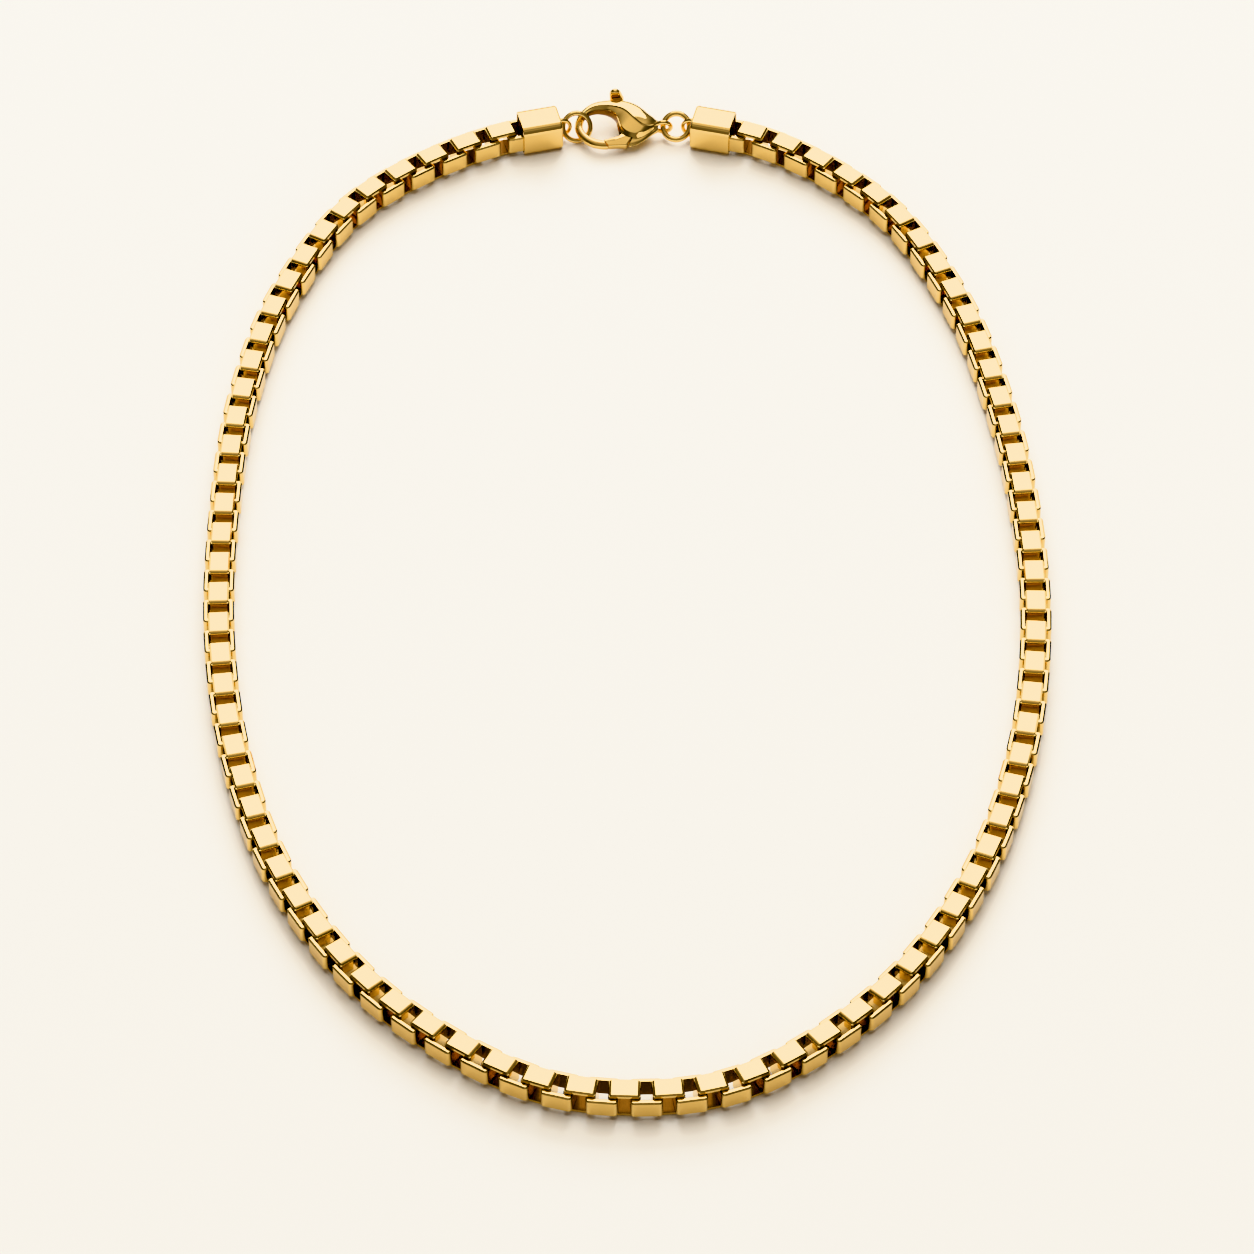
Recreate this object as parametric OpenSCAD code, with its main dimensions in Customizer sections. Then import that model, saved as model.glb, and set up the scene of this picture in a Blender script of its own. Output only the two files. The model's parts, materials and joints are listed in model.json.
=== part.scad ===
// Box chain necklace with square end caps and a lobster clasp, laid flat as a closed loop.
// Millimetres. The loop lies on z = 0, with +Y towards the clasp.

/* [Loop] */
// Width of the chain's middle line across the loop
loop_w = 132; // [126:1:138]
// Length of the chain's middle line from the caps down to the lowest link
loop_l = 212.5; // [205:0.5:220]

/* [Chain links] */
// Overall length of one link along the chain
link_l = 4.95; // [4.8:0.05:5.2]
// Overall height of one link across the chain
link_h = 5; // [4.7:0.1:5.6]
// Width of the strip that each link is bent from
link_w = 3.3; // [2.8:0.05:3.4]
// Thickness of the strip
link_t = 0.65; // [0.5:0.05:0.7]
// Outside radius of a link's four bends
link_bend_r = 0.5; // [0.3:0.05:0.6]
// Least play between the end bars of two links that hook into each other
link_play = 0.33; // [0.25:0.01:0.4]

/* [End caps] */
// Length of a cap from its mouth to its closed end
cap_l = 7; // [6:0.5:9]
// Wall thickness of a cap
cap_wall = 0.35; // [0.3:0.05:0.5]
// Thickness of a cap's closed end
cap_end = 0.7; // [0.6:0.1:1]
// Clearance between the last link and the cap's walls
cap_play = 0.15; // [0.1:0.05:0.2]
// Outside radius of a cap's long edges
cap_edge_r = 0.9; // [0.6:0.1:1.2]
// Bevel round a cap's closed end
cap_bevel = 0.35; // [0.2:0.05:0.5]
// How far the middle of the last link stands out of the cap's mouth
cap_link_out = 0.3; // [0.2:0.05:0.5]
// Diameter of the hidden pin that holds the last link
cap_pin_d = 0.9; // [0.7:0.05:1]
// Angle between a cap and the line from cap to cap
cap_turn = 14; // [10:1:16]
// Radius of the hole of a cap's soldered loop
loop_hole_r = 1.5; // [1.45:0.05:1.7]
// Wire diameter of a cap's soldered loop
loop_wire = 0.7; // [0.6:0.05:0.8]
// Height of a cap's soldered loop above the table
loop_z = 2.6; // [2.5:0.05:2.8]

/* [Connecting rings] */
// Inner diameter of the ring in the hook
ring_left_id = 3.9; // [3.8:0.05:4.1]
// Wire diameter of the ring in the hook
ring_left_wire = 0.9; // [0.8:0.05:0.95]
// Slope of the ring in the hook, far side up
ring_left_tilt = 51; // [48:1:54]
// Turn of the ring in the hook, seen from above
ring_left_yaw = 10; // [7:1:13]
// Inner diameter of the ring in the eye
ring_right_id = 3.6; // [3.5:0.05:3.8]
// Wire diameter of the ring in the eye
ring_right_wire = 1; // [0.9:0.05:1.05]
// Slope of the ring in the eye, far side up
ring_right_tilt = 35; // [33:1:37]
// Turn of the ring in the eye, seen from above
ring_right_yaw = -8; // [-11:1:-5]

/* [Clasp] */
// Length of the clasp from the hook's bend to the end of its tail
clasp_l = 14.5; // [14:0.1:15.5]
// Width of the clasp across hook and body
clasp_w = 10.1; // [9.8:0.1:11]
// Thickness of the clasp's body
clasp_t = 4; // [3.8:0.1:4.4]
// Slope of the clasp, far side up
clasp_tilt = 10; // [8:1:12]
// Height of the clasp's axis above the table
clasp_z = 2.35; // [2.3:0.05:2.6]
// Distance of the clasp's axis beyond the ends of the caps
clasp_rise = 0.6; // [0.5:0.05:0.8]
// Radius of the eye's hole
eye_hole_r = 0.9; // [0.8:0.05:1]
// Wire diameter of the eye
eye_wire = 0.8; // [0.7:0.05:0.9]

/* [Lever] */
// Thickness of the lever
lever_t = 1.2; // [1:0.1:1.4]
// Clearance between the lever and the clasp's body
lever_play = 0.12; // [0.1:0.01:0.16]
// Radius of the lever's hub
hub_r = 1.15; // [1:0.05:1.3]
// Diameter of the lever's pin
pin_d = 1; // [0.8:0.1:1.2]
// Running clearance of the lever on its pin, in radius
pin_play = 0.05; // [0.03:0.01:0.08]
// Width of the lever's arm to the thumb tab
neck_w = 1.6; // [1.4:0.1:1.8]
// Thickness of the thumb tab
tab_t = 0.8; // [0.6:0.1:1]
// Height of the thumb tab above the middle of the lever
tab_h = 2.8; // [2.4:0.1:3.2]
// Angle through which the lever opens
lever_open = 30; // [25:1:30]

/* [Hidden] */

gold = [0.93, 0.75, 0.40];
pale_gold = [0.96, 0.80, 0.47];
overlap = 0.01;
round_fn = 48;
wire_fn = 32;
seam_fn = 96;

// Middle line of the chain between the caps, from the left cap round to the right one.
// It is measured from the point midway between the closed ends of the caps, at the width and length below.
route_w = 132;
route_l = 212.5;
ROUTE = [[-44, -17], [-57.5, -40], [-64, -66], [-66, -93.5], [-65.5, -120.5], [-61.5, -146.5],
         [-53, -171], [-38, -193], [-17, -208.5], [1.5, -212.5], [20, -208.5], [40, -192.5],
         [54, -170.5], [62.5, -145], [66, -118.5], [65.5, -92], [62, -66], [55, -40.5], [42, -17.5]];

// Shares of the clasp's length, width and thickness that each section of hook and body has.
INNER_X = 0;
INNER_Y = 1;
OUTER_X = 2;
OUTER_Y = 3;
THICK = 4;
CLASP_SECTIONS = [
    [0.45, -0.31, 0.45, -0.45, 0.40],
    [0.36, -0.31, 0.36, -0.47, 0.40],
    [0.26, -0.28, 0.21, -0.43, 0.39],
    [0.16, -0.19, 0.08, -0.29, 0.38],
    [0.10, -0.04, 0.00, -0.07, 0.37],
    [0.11, 0.10, 0.02, 0.17, 0.39],
    [0.16, 0.22, 0.10, 0.35, 0.46],
    [0.25, 0.28, 0.22, 0.48, 0.56],
    [0.34, 0.28, 0.37, 0.52, 0.68],
    [0.43, 0.23, 0.52, 0.52, 0.80],
    [0.49, 0.12, 0.65, 0.48, 0.90],
    [0.51, -0.03, 0.75, 0.41, 0.97],
    [0.52, -0.19, 0.83, 0.32, 1.00],
    [0.56, -0.34, 0.89, 0.23, 0.98],
    [0.65, -0.43, 0.94, 0.17, 0.90],
    [0.79, -0.35, 0.97, 0.13, 0.76],
    [0.92, -0.19, 0.99, 0.11, 0.62],
    [1.00, -0.11, 1.00, 0.11, 0.55]];
section_steps = 3;
section_sides = 28;

// Caps
cap_inner = link_h + 2 * cap_play;
cap_w = cap_inner + 2 * cap_wall;
first_link_x = -cap_l - cap_link_out;
loop_r = loop_hole_r + loop_wire / 2;
loop_sink = cap_end / 2;

// Places along the line from cap to cap
ring_left_r = (ring_left_id + ring_left_wire) / 2;
ring_right_r = (ring_right_id + ring_right_wire) / 2;
cap_gap_left = 0.1;
cap_gap_right = 0.14;
hook_overlap = 0.35;
eye_overlap = 0.03;
ring_left_drop = 0.1;
ring_left_lift = 0.05;
ring_right_drop = 0.19;
ring_right_lift = 0.24;
ring_left_y = clasp_rise - ring_left_drop;
ring_left_z = clasp_z + ring_left_lift;
ring_right_y = clasp_rise - ring_right_drop;
ring_right_z = clasp_z + ring_right_lift;
left_reach = ring_left_r + ring_left_wire / 2 + cap_gap_left - hook_overlap;
eye_x = clasp_l + eye_hole_r - overlap;
right_reach = 2 * ring_right_r + ring_right_wire / 2 + cap_gap_right - eye_overlap;
cap_span = left_reach + eye_x + right_reach;
hook_x = left_reach - cap_span / 2;
ring_left_x = hook_x + hook_overlap;
ring_right_x = hook_x + eye_x + ring_right_r - eye_overlap;

// Lever and its slot, in the clasp's own plane
pivot = [0.72 * clasp_l, -0.06 * clasp_w];
seam_gap = 0.15;
gate_tip = [0.375 * clasp_l, -0.39 * clasp_w];
gate_tip_r = norm(gate_tip - pivot);
gate_tip_in = [0.3 * clasp_l, -0.34 * clasp_w];
gate_tip_out = [0.3 * clasp_l, -0.45 * clasp_w];
nose_zone = [0.3 * clasp_l, -0.5 * clasp_w];
nose_zone_size = [0.16 * clasp_l, 0.25 * clasp_w];
gate_in = [0.53 * clasp_l, -0.24 * clasp_w];
gate_lip = [0.62 * clasp_l, -0.43 * clasp_w];
tab_gap = 0.2;
tab_y = 0.525 * clasp_w + tab_gap;
tab_left = 0.42 * clasp_l;
tab_right = 0.585 * clasp_l;
tab_top_r = 0.95;
tab_slant = 20;
lip_turn = 4;
lip_half_w = 0.6;
tab_root = [(tab_left + tab_right) / 2, tab_y + tab_t / 2];
pin_top = 0.34 * clasp_t;
pin_bottom = -0.48 * clasp_t;
fixed_play = 0.02;
slot_reach = clasp_w;

// Section of a smooth curve through the points p, at u from 0 to 1 between points i and i + 1
function blend(a, b, c, d, u) =
    b + (c - a) * u / 2 + (2 * a - 5 * b + 4 * c - d) * u * u / 2 + (3 * b - a - 3 * c + d) * u * u * u / 2;

function pick(p, i) = p[max(0, min(len(p) - 1, i))];

function smooth(p, steps) = [
    for (i = [0 : len(p) - 2], k = [0 : steps - 1])
        blend(pick(p, i - 1), p[i], p[i + 1], pick(p, i + 2), k / steps),
    p[len(p) - 1]];

function direction(angle) = [cos(angle), sin(angle)];

// The chain's line, as short straight steps
cap_left_face = [-cap_span / 2, 0];
cap_right_face = [cap_span / 2, 0];
route_start = cap_left_face + first_link_x * direction(cap_turn);
route_end = cap_right_face - first_link_x * direction(-cap_turn);
lead_in = 24;
line_steps = 24;
route = [for (p = ROUTE) [p[0] * loop_w / route_w, p[1] * loop_l / route_l]];
controls = concat([route[0] + 2 * lead_in * direction(cap_turn), route_start], route,
                  [route_end, route[len(route) - 1] - 2 * lead_in * direction(-cap_turn)]);
line_all = smooth(controls, line_steps);
line = [for (i = [line_steps : len(line_all) - 1 - line_steps]) line_all[i]];
step_lengths = [for (i = [1 : len(line) - 1]) norm(line[i] - line[i - 1])];
line_at = [for (i = 0, s = 0; i < len(line);
                s = s + (i < len(step_lengths) ? step_lengths[i] : 0), i = i + 1) s];
line_length = line_at[len(line_at) - 1];

// Links: an even number of steps, so that both ends have an upright link
pitch_most = link_l - 2 * link_t - link_play;
link_steps = 2 * ceil(line_length / pitch_most / 2);
pitch = line_length / link_steps;
half_links = floor(link_steps / 2);

function find_step(s, low, high) =
    high - low <= 1 ? low :
    let (mid = floor((low + high) / 2))
    line_at[mid] <= s ? find_step(s, mid, high) : find_step(s, low, mid);

function point_at(s) =
    let (t = min(max(s, 0), line_length), i = find_step(t, 0, len(line) - 1))
    line[i] + (line[i + 1] - line[i]) * (t - line_at[i]) / step_lengths[i];

function heading_at(s) =
    let (d = point_at(s + link_l / 4) - point_at(s - link_l / 4))
    atan2(d[1], d[0]);

link_points = [for (i = [0 : link_steps]) point_at(i * pitch)];
link_headings = [for (i = [0 : link_steps])
    i == 0 ? cap_turn : i == link_steps ? -cap_turn : heading_at(i * pitch)];

// Outer size of the whole loop, which puts the origin in the middle of it
function reach_x(i) =
    (i % 2 == 0 ? link_h : link_w) / 2 * abs(sin(link_headings[i])) + link_l / 2 * abs(cos(link_headings[i]));
function reach_y(i) =
    (i % 2 == 0 ? link_h : link_w) / 2 * abs(cos(link_headings[i])) + link_l / 2 * abs(sin(link_headings[i]));
low_x = min([for (i = [0 : link_steps]) link_points[i][0] - reach_x(i)]);
high_x = max([for (i = [0 : link_steps]) link_points[i][0] + reach_x(i)]);
low_y = min([for (i = [0 : link_steps]) link_points[i][1] - reach_y(i)]);
high_y = clasp_rise + (tab_y + tab_t) * cos(clasp_tilt) + lever_t / 2 * sin(clasp_tilt);
middle = [(low_x + high_x) / 2, (low_y + high_y) / 2, 0];

// Corner points of a rectangle with round corners, as one loop
corner_steps = 3;
least_inner_r = 0.15;
function round_rect(x, y, r) = [
    for (q = [0 : 3], k = [0 : corner_steps])
        let (a = 90 * q + 90 * k / corner_steps, sx = (q == 0 || q == 3) ? 1 : -1, sy = q < 2 ? 1 : -1)
        [sx * (x / 2 - r) + r * cos(a), sy * (y / 2 - r) + r * sin(a)]];

module centred() {
    translate(-middle) children();
}

// One link: its strip runs along X and stands link_h high in Y, with the strip's width along Z
module link() {
    inner_r = max(link_bend_r - link_t, least_inner_r);
    linear_extrude(link_w, center = true)
        difference() {
            polygon(round_rect(link_l, link_h, link_bend_r));
            polygon(round_rect(link_l - 2 * link_t, link_h - 2 * link_t, inner_r));
        }
}

module links(first, last) {
    centred()
        for (i = [first : last])
            translate([link_points[i][0], link_points[i][1], link_h / 2])
                rotate([0, 0, link_headings[i]])
                    rotate([i % 2 == 0 ? 0 : 90, 0, 0])
                        link();
}

module chain_left() {
    color(gold) links(0, half_links);
}

module chain_right() {
    color(gold) links(half_links + 1, link_steps);
}

// Cap with its closed end at the origin and its mouth towards -X, standing on z = 0
module cap_block() {
    inset = cap_w / 2 - cap_bevel;
    intersection() {
        translate([-cap_l, 0, 0])
            rotate([90, 0, 90])
                linear_extrude(cap_l) polygon(round_rect(cap_w, cap_w, cap_edge_r));
        bevel_outline = [[-cap_l, -cap_w], [-cap_l, cap_w], [-cap_bevel - cap_w / 2, cap_w],
                     [0, inset], [0, -inset], [-cap_bevel - cap_w / 2, -cap_w]];
        linear_extrude(2 * cap_w, center = true) polygon(bevel_outline);
        rotate([90, 0, 0]) linear_extrude(2 * cap_w, center = true) polygon(bevel_outline);
    }
}

// Half a ring that stands out of the closed end, with its two ends sunk in the cap's end wall
module cap_loop() {
    difference() {
        translate([0, 0, loop_z - cap_w / 2])
            rotate([90, 0, 0])
                rotate_extrude($fn = round_fn)
                    translate([loop_r, 0]) circle(d = loop_wire, $fn = wire_fn);
        translate([-cap_w - loop_sink, 0, 0]) cube(2 * cap_w, center = true);
    }
}

module end_cap() {
    pin_x = first_link_x + link_l / 2 - link_t - cap_play - cap_pin_d / 2;
    translate([0, 0, cap_w / 2]) {
        difference() {
            cap_block();
            translate([-cap_l - overlap, 0, 0])
                rotate([90, 0, 90])
                    linear_extrude(cap_l - cap_end + overlap)
                        polygon(round_rect(cap_inner, cap_inner, cap_edge_r - cap_wall));
        }
        translate([pin_x, 0, 0]) cylinder(h = cap_w - cap_wall, d = cap_pin_d, center = true, $fn = wire_fn);
        cap_loop();
    }
}

module end_cap_left() {
    color(pale_gold) centred()
        translate(cap_left_face) rotate([0, 0, cap_turn]) end_cap();
}

module end_cap_right() {
    color(pale_gold) centred()
        translate(cap_right_face) mirror([1, 0, 0]) rotate([0, 0, cap_turn]) end_cap();
}

module ring(r, wire, tilt, yaw) {
    rotate([0, 0, yaw]) rotate([tilt, 0, 0])
        rotate_extrude($fn = round_fn)
            translate([r, 0]) circle(d = wire, $fn = wire_fn);
}

module ring_left() {
    color(gold) centred()
        translate([ring_left_x, ring_left_y, ring_left_z])
            ring(ring_left_r, ring_left_wire, ring_left_tilt, ring_left_yaw);
}

module ring_right() {
    color(gold) centred()
        translate([ring_right_x, ring_right_y, ring_right_z])
            ring(ring_right_r, ring_right_wire, ring_right_tilt, ring_right_yaw);
}

// The clasp's own frame: X from the hook's bend to the tail, Y towards the thumb tab
module clasp_place() {
    centred()
        translate([hook_x, clasp_rise, clasp_z])
            rotate([clasp_tilt, 0, 0])
                children();
}

function section_ring(s) =
    let (inner = [s[INNER_X] * clasp_l, s[INNER_Y] * clasp_w],
         outer = [s[OUTER_X] * clasp_l, s[OUTER_Y] * clasp_w],
         mid = (inner + outer) / 2,
         half = (outer - inner) / 2)
    [for (k = [0 : section_sides - 1])
        let (a = 360 * k / section_sides)
        [mid[0] + half[0] * cos(a), mid[1] + half[1] * cos(a), s[THICK] * clasp_t / 2 * sin(a)]];

module hook_and_body() {
    sections = smooth(CLASP_SECTIONS, section_steps);
    count = len(sections);
    n = section_sides;
    points = [for (s = sections) each section_ring(s)];
    sides = [for (j = [0 : count - 2], k = [0 : n - 1])
        each [[j * n + k, (j + 1) * n + (k + 1) % n, j * n + (k + 1) % n],
              [j * n + k, (j + 1) * n + k, (j + 1) * n + (k + 1) % n]]];
    start_face = [for (k = [0 : n - 1]) k];
    end_face = [for (k = [n - 1 : -1 : 0]) (count - 1) * n + k];
    polyhedron(points, concat(sides, [start_face, end_face]));
}

module eye() {
    translate([eye_x, 0, 0])
        rotate([90, 0, 0])
            rotate_extrude($fn = round_fn)
                translate([eye_hole_r + eye_wire / 2, 0]) circle(d = eye_wire, $fn = wire_fn);
}

// A strip from the pivot outwards that covers a swing from one angle to another, with its half width at each
module swing(half_from, half_to, from, to) {
    near_a = pivot + half_from * direction(from + 90);
    near_b = pivot + half_to * direction(to - 90);
    far_middle = pivot + 2 * slot_reach * direction((from + to) / 2);
    polygon([near_a, near_a + slot_reach * direction(from), far_middle,
             near_b + slot_reach * direction(to), near_b]);
}

function angle_to(p) = atan2(p[1] - pivot[1], p[0] - pivot[0]);

module lever_slot() {
    neck_angle = angle_to(tab_root);
    lip_angle = angle_to(gate_lip) + 360;
    tip_angle = angle_to(gate_tip) + 360;
    linear_extrude(lever_t + 2 * lever_play, center = true) {
        translate(pivot) circle(hub_r + lever_play, $fn = round_fn);
        swing(neck_w / 2 + lever_play, neck_w / 2 + lever_play, neck_angle, neck_angle - lever_open);
        intersection() {
            swing(lip_half_w, hub_r + lever_play, lip_angle - lip_turn, tip_angle - lever_open);
            translate(pivot) circle(gate_tip_r + seam_gap, $fn = seam_fn);
        }
    }
}

// The end of the hook's nose, cut round so that the gate's tip swings past it
module nose_cut() {
    linear_extrude(clasp_t, center = true)
        intersection() {
            translate(nose_zone) square(nose_zone_size);
            translate(pivot) circle(gate_tip_r + seam_gap, $fn = seam_fn);
        }
}

module clasp_body() {
    color(gold) clasp_place()
        difference() {
            union() {
                hook_and_body();
                eye();
            }
            lever_slot();
            nose_cut();
            translate([pivot[0], pivot[1], -clasp_t])
                cylinder(h = clasp_t + pin_top, d = pin_d + 2 * fixed_play, $fn = wire_fn);
        }
}

module thumb_tab() {
    top = tab_h - tab_top_r;
    top_x = tab_left + tab_top_r;
    slant = [top_x, top] + tab_top_r * direction(tab_slant);
    translate([0, tab_y + tab_t, 0])
        rotate([90, 0, 0])
            linear_extrude(tab_t) {
                translate([top_x, top]) circle(tab_top_r, $fn = wire_fn);
                polygon([[tab_left, -lever_t / 2], [tab_right, -lever_t / 2], [tab_right, lever_t / 2],
                         slant, [top_x, top], [tab_left, top]]);
            }
}

module clasp_lever() {
    neck_side = neck_w / 2 * direction(angle_to(tab_root) + 90);
    neck = [pivot + neck_side, pivot - neck_side, tab_root - neck_side, tab_root + neck_side];
    color(pale_gold) clasp_place()
        difference() {
            union() {
                linear_extrude(lever_t, center = true) {
                    translate(pivot) circle(hub_r, $fn = round_fn);
                    intersection() {
                        polygon([gate_tip_in, gate_tip_out, gate_lip, pivot + hub_r * direction(270),
                                 pivot, pivot + hub_r * direction(135), gate_in]);
                        translate(pivot) circle(gate_tip_r, $fn = seam_fn);
                    }
                    polygon(neck);
                }
                thumb_tab();
            }
            translate([pivot[0], pivot[1], 0])
                cylinder(h = 2 * lever_t, d = pin_d + 2 * pin_play, center = true, $fn = wire_fn);
        }
}

module lever_pin() {
    color(pale_gold) clasp_place()
        translate([pivot[0], pivot[1], pin_bottom])
            cylinder(h = pin_top - fixed_play - pin_bottom, d = pin_d, $fn = wire_fn);
}

chain_left();
chain_right();
end_cap_left();
end_cap_right();
ring_left();
ring_right();
clasp_body();
clasp_lever();
lever_pin();
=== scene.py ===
import json
import math

import bpy
import numpy as np
from bpy.props import FloatProperty, FloatVectorProperty, PointerProperty
from mathutils import Matrix, Vector


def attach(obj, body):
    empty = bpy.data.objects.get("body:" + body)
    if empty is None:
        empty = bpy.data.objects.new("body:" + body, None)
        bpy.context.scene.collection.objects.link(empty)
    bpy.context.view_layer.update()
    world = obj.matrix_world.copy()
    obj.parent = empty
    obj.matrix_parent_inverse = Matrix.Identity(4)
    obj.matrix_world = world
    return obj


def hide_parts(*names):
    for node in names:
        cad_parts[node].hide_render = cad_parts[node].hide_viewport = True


bl_info = {
    "name": "Box chain necklace",
    "version": (1, 0, 0),
    "blender": (4, 5, 0),
    "location": "View3D > Sidebar > Necklace",
    "description": "Models a gold box chain necklace with its end caps, rings and lobster clasp",
    "category": "Add Mesh",
}

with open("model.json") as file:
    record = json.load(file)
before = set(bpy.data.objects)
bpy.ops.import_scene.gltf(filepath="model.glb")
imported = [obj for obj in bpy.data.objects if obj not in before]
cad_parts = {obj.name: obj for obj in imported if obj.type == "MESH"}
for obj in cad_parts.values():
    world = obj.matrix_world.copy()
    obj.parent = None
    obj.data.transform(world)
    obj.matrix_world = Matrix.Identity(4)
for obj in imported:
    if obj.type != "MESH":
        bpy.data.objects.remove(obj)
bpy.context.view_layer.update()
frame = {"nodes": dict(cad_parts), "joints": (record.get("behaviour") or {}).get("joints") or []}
NODES = frame["nodes"]
HINGE = frame["joints"][0]
LEVER_OPEN = math.radians(max(HINGE["range_deg"]))
NECKLACE_BODY = "necklace"
LEVER_BODY = "lever"
MM = 0.001
TINY = 0.01 * MM
WELD = 0.0005 * MM
SAME_CORNER = 0.002 * MM

# How large a part of a unit direction is when it runs along an axis, runs exactly along it, or across it
ALONG, EXACTLY, ACROSS = 0.9, 0.999, 0.1

# How deep in the strip, as a share of it, the edges of a link's outer rim lie at most on the bends
RIM_SHARE = 0.3

# Each row is one section across the clasp, from the hook's nose to the tail. It has the places of its
# inner and outer ends as shares of the clasp's length and width, its share of the thickness, the place
# of the crest between -1 inside and 1 outside, the place and height of the lower edge of the facet
# beside it, how far the chamfer under the facet drops, and how strongly the section is faceted.
CLASP_ROWS = [
    (0.45, -0.31, 0.45, -0.45, 0.40, 0.05, -0.50, 0.80, 0.10, 0.60),
    (0.36, -0.31, 0.36, -0.47, 0.40, 0.05, -0.50, 0.80, 0.10, 0.60),
    (0.26, -0.28, 0.21, -0.43, 0.39, 0.05, -0.50, 0.80, 0.10, 0.70),
    (0.16, -0.19, 0.08, -0.29, 0.38, 0.05, -0.50, 0.78, 0.10, 0.80),
    (0.10, -0.04, 0.00, -0.07, 0.37, 0.05, -0.50, 0.76, 0.10, 0.90),
    (0.11, 0.10, 0.02, 0.17, 0.39, 0.02, -0.52, 0.74, 0.10, 1.00),
    (0.16, 0.22, 0.10, 0.35, 0.46, -0.02, -0.56, 0.72, 0.10, 1.00),
    (0.25, 0.28, 0.22, 0.48, 0.56, -0.10, -0.62, 0.72, 0.10, 1.00),
    (0.34, 0.28, 0.37, 0.52, 0.68, -0.20, -0.70, 0.72, 0.10, 1.00),
    (0.43, 0.23, 0.52, 0.52, 0.80, -0.20, -0.76, 0.72, 0.12, 1.00),
    (0.49, 0.12, 0.65, 0.48, 0.90, -0.06, -0.78, 0.72, 0.14, 1.00),
    (0.51, -0.03, 0.75, 0.41, 0.97, 0.06, -0.76, 0.72, 0.18, 1.00),
    (0.52, -0.19, 0.83, 0.32, 1.00, 0.14, -0.66, 0.72, 0.28, 1.00),
    (0.56, -0.34, 0.89, 0.23, 0.98, 0.20, -0.50, 0.72, 0.38, 1.00),
    (0.65, -0.43, 0.94, 0.17, 0.90, 0.22, -0.32, 0.74, 0.46, 1.00),
    (0.79, -0.35, 0.97, 0.13, 0.76, 0.20, -0.18, 0.76, 0.48, 1.00),
    (0.92, -0.19, 0.99, 0.11, 0.62, 0.10, -0.18, 0.80, 0.42, 0.90),
    (1.00, -0.11, 1.00, 0.11, 0.55, 0.00, -0.36, 0.82, 0.20, 0.50),
]

# Rows of the clasp's grid for each row of the table, and the first and last row of the inner wall with
# painted shade
ROW_STEPS = 3
WALL_ROWS = (5 * ROW_STEPS, 12 * ROW_STEPS)

# Corners of a section, counted from its outer end over the top: the crest, the foot of the small step
# beside it, the lower edges of the facet and of the chamfer, and the inner end
CREST = 5
STEP_FOOT = 6
FACET = 8
CHAMFER = 9
HALF_ROUND = 12

# A section's outer side is an ellipse up to the first of these shares of the thickness, and by the second
# its exponent is less by this share, which makes it fuller
FULLER_FROM, FULLER_TO = 0.5, 0.8
FULLER_BY = 0.3

# How sharply the edges along the clasp and round its tail stay when it is subdivided
FOLDS = ((CREST, 0.8), (STEP_FOOT, 0.8), (FACET, 0.7), (CHAMFER, 0.5))
TAIL_FOLD = 0.7

# The chamfer's slope, its furthest reach towards the inner end, and the rounding from it to that end as
# shares of the way and of the height that are left
CHAMFER_SLOPE = math.tan(math.radians(38.0))
CHAMFER_REACH = 0.3
INNER_ROUND = ((0.45, 0.74), (0.86, 0.36), (1.0, 0.0))

# Brightness of the studio round the necklace, by the angle in degrees from the horizon behind it
# over the top to the horizon in front
SKY_STOPS = [(0, 0.08), (22, 0.10), (30, 0.40), (62, 0.60), (74, 0.95), (97, 0.80), (105, 0.28),
             (111, 0.28), (120, 0.55), (128, 0.42), (134, 0.24), (176, 0.24), (180, 0.16)]

# How the scratches' noise is spread over the share that they add to the roughness or take from it
SCRATCH_RANGE = {"From Min": 0.35, "From Max": 0.70, "To Min": 0.85, "To Max": 1.35}

# How the studio fades from its middle to both sides
SIDE_FADE = {"From Min": 0.22, "From Max": 0.65, "To Min": 1.0, "To Max": 0.18}

# The camera's place, its turn from straight down, and its lens in millimetres
CAMERA_PLACE = (0.00006, -0.6940, 0.7593)
CAMERA_TURN = math.radians(42.0)
CAMERA_LENS = 181.0

# Places on the clasp and its lever as shares of the clasp's length and width
PIVOT_SHARE = (0.72, -0.06)
GATE_TIP = (0.375, -0.39)
GATE_INNER = ((0.30, -0.34), (0.53, -0.24))
GATE_OUTER = ((0.30, -0.45), (0.62, -0.43))
LEDGE = ((0.30, -0.355), (0.30, -0.435), (0.45, -0.435), (0.45, -0.325))
NOSE_ZONE = ((0.30, -0.50), (0.46, -0.50), (0.46, -0.25), (0.30, -0.25))
TAB_ENDS = (0.42, 0.585)
TAB_SIDE = 0.525

# Where the pin's bore ends, as a share of the clasp's thickness above its middle
BORE_TOP = 0.34

# Shares of the lever's thickness: the ledge at the gate's tip, how far it sits below the middle, and the
# neck, which is a little thinner than the hub so that no two faces coincide
LEDGE_SHARE = 0.45
LEDGE_DROP = 0.2
NECK_SHARE = 0.98

# Angles on the lever: how far inside the gate's lip its slot starts, the hub's corner behind the gate, and
# the start of the thumb tab's round top
LIP_TURN = math.radians(4.0)
HUB_CORNER = math.radians(135.0)
TAB_SLANT = math.radians(20.0)

DISC_SIDES = 48


# Sizes and colours

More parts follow.
